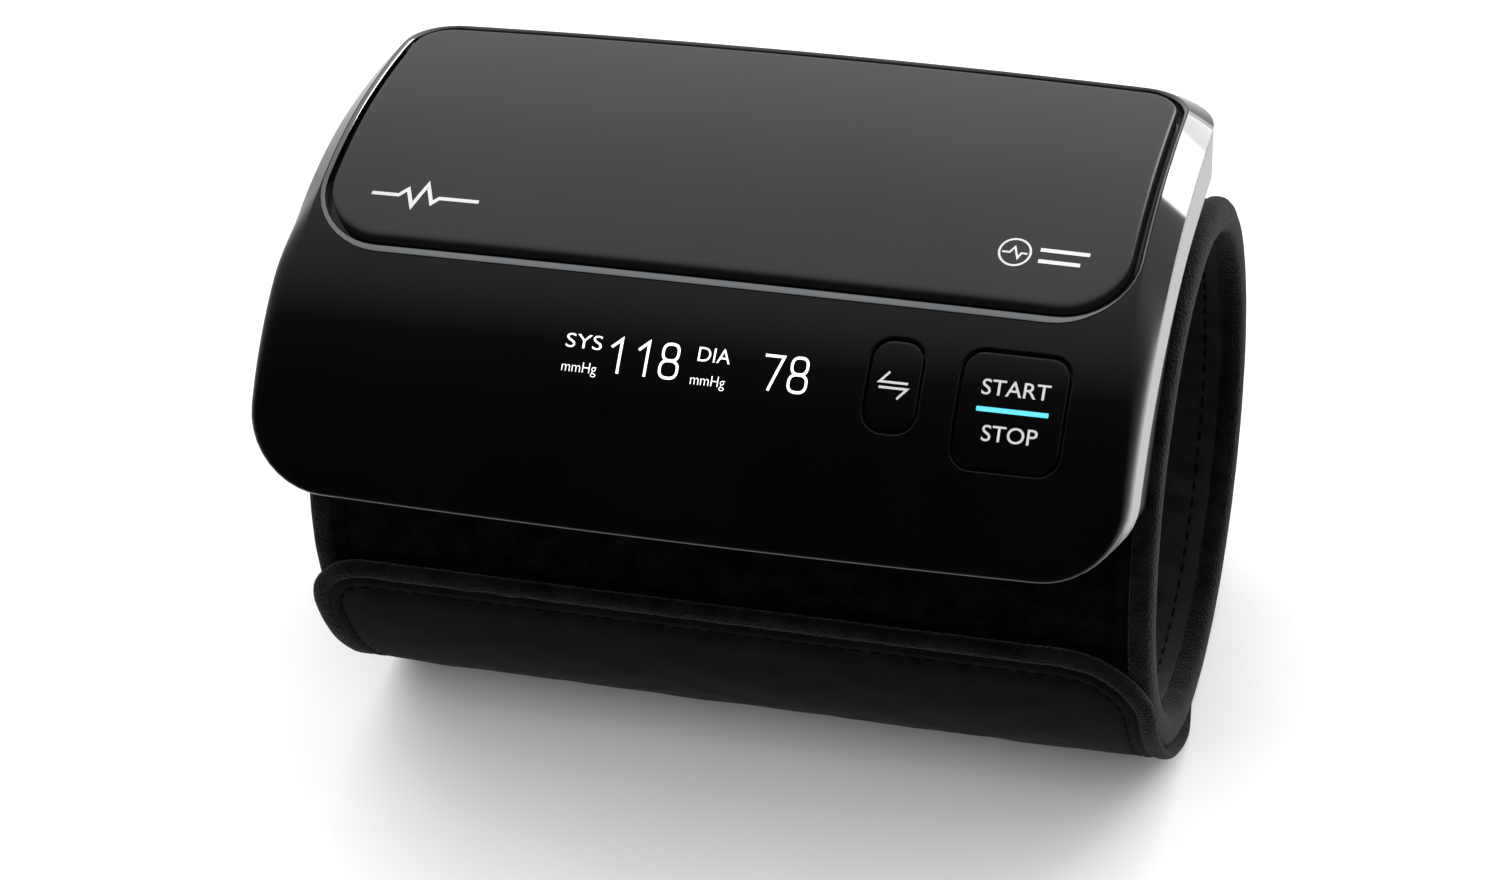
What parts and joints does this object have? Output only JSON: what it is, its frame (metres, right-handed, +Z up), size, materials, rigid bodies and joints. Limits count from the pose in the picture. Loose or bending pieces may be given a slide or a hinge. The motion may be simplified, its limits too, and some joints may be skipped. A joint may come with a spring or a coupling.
{
  "type": "blood pressure cuff",
  "caption": "Tubeless upper-arm blood pressure monitor: a curved glossy case with a display and buttons, fixed on a padded fabric arm cuff with a pull flap.",
  "frame": {"origin": "under the middle of the whole object, on the surface that it stands on; the arm opening's axis runs along X, 39.9 mm up and 8.1 mm behind the origin", "axes": "+X to the right as the display is read, along the arm opening; +Y to the back; +Z up"},
  "size_m": [0.122, 0.0968, 0.0973],
  "materials": {
    "gloss_black": "gloss",
    "matte_panel": "satin",
    "bright_bezel": "polished",
    "silver_rim": "satin",
    "case_black": "matte",
    "light_blue": "gloss",
    "steel": "satin",
    "circuit_board": "satin",
    "display_glass": "gloss",
    "chip_black": "matte",
    "copper_winding": "satin",
    "white_plastic": "satin",
    "soft_rubber": "matte",
    "clear_tube": "satin",
    "cell_wrap": "satin",
    "cuff_lining": "matte",
    "cuff_velour": "matte",
    "cuff_binding": "matte",
    "foam_black": "matte",
    "hook_black": "matte"
  },
  "bodies": {
    "monitor": {"front_shell": "gloss_black", "panel_bezel": "bright_bezel", "side_rim": "silver_rim", "rear_shell": "case_black", "case_screws": "steel", "main_board": "circuit_board", "display_module": "display_glass", "start_stop_switch": "chip_black", "transfer_switch": "chip_black", "processor": "chip_black", "wireless_module": "steel", "pressure_sensor": "white_plastic", "motor_can": "steel", "pump_head": "white_plastic", "pump_diaphragm": "soft_rubber", "pump_mount": "soft_rubber", "air_manifold": "white_plastic", "pump_tube": "clear_tube", "air_port": "white_plastic", "valve_tube": "clear_tube", "valve_frame": "steel", "valve_coil": "copper_winding", "valve_spring": "steel", "battery_1": "cell_wrap", "battery_2": "cell_wrap", "battery_3": "cell_wrap", "battery_4": "cell_wrap", "battery_tray": "case_black", "contact_plates": "steel", "contact_springs": "steel", "inner_lining": "cuff_lining", "bladder": "soft_rubber", "curl_core": "white_plastic", "mounting_plate": "case_black", "padding": "foam_black", "outer_sleeve": "cuff_velour", "loop_patch": "cuff_velour", "plate_screws": "steel", "binding_right": "cuff_binding", "binding_left": "cuff_binding", "outer_wrap": "cuff_velour"},
    "start_stop_key": {"start_stop_button": "gloss_black", "light_bar": "light_blue"},
    "transfer_key": {"transfer_button": "gloss_black"},
    "battery_lid": {"battery_cover": "matte_panel"},
    "rotor": {"rotor_core": "copper_winding", "motor_shaft": "steel", "drive_cam": "white_plastic"},
    "valve_pin": {"valve_plunger": "steel"},
    "cuff_flap": {"flap": "cuff_velour", "flap_binding": "cuff_binding", "hook_patch": "hook_black"}
  },
  "joints": [
    {"name": "start_stop_press", "type": "slide", "parent": "monitor", "child": "start_stop_key", "axis": [0, 0.6016, -0.7988], "range_m": [0, 0.0004], "stiffness_N_per_m": 1200, "springref_m": -0.0002},
    {"name": "transfer_press", "type": "slide", "parent": "monitor", "child": "transfer_key", "axis": [0, 0.5695, -0.822], "range_m": [0, 0.0004], "stiffness_N_per_m": 1200, "springref_m": -0.0002},
    {"name": "battery_lift", "type": "slide", "parent": "monitor", "child": "battery_lid", "axis": [0, -0.0698, 0.9976], "range_m": [0, 0.03]},
    {"name": "rotor_spin", "type": "hinge", "parent": "monitor", "child": "rotor", "pos_m": [0, -0.02268, 0.07762], "axis": [1, 0, 0], "continuous": true},
    {"name": "valve_stroke", "type": "slide", "parent": "monitor", "child": "valve_pin", "axis": [-1, 0, 0], "range_m": [0, 0.0006], "stiffness_N_per_m": 250, "springref_m": -0.0003, "deforming": ["valve_spring"]},
    {"name": "flap_peel", "type": "hinge", "parent": "monitor", "child": "cuff_flap", "pos_m": [0, -0.01655, 0.00592], "axis": [1, 0, 0], "range_deg": [0, 60]}
  ]
}
